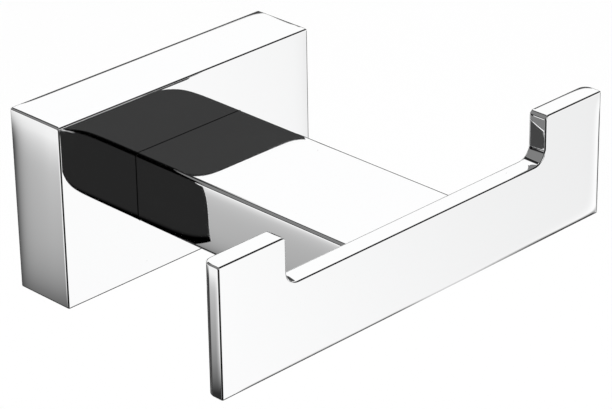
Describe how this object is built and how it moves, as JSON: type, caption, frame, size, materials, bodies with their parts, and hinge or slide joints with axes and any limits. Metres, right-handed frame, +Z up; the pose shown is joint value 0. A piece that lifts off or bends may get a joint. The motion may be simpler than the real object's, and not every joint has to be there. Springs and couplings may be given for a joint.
{
  "type": "double robe hook",
  "caption": "Wall mounted double robe hook: a deep rectangular cover, a flat arm and a cross bar with a raised tab at each end.",
  "frame": {"origin": "the middle of the wall face, where the bracket's back lies flat on the wall behind the cover", "axes": "+Y points into the wall, -Y is the way the hook stands out, +X runs along the cross bar to the right seen from the front, +Z is up"},
  "size_m": [0.105, 0.0791, 0.04],
  "materials": {
    "chrome": "mirror polished chrome plating on brass",
    "zinc_plated_steel": "dull zinc plating"
  },
  "bodies": {
    "root": {"wall_cover": "chrome", "arm": "chrome", "hook_bar": "chrome", "wall_bracket": "zinc_plated_steel", "arm_bolts": "zinc_plated_steel", "arm_bolt_washers": "zinc_plated_steel", "grub_screw": "zinc_plated_steel"}
  },
  "joints": []
}
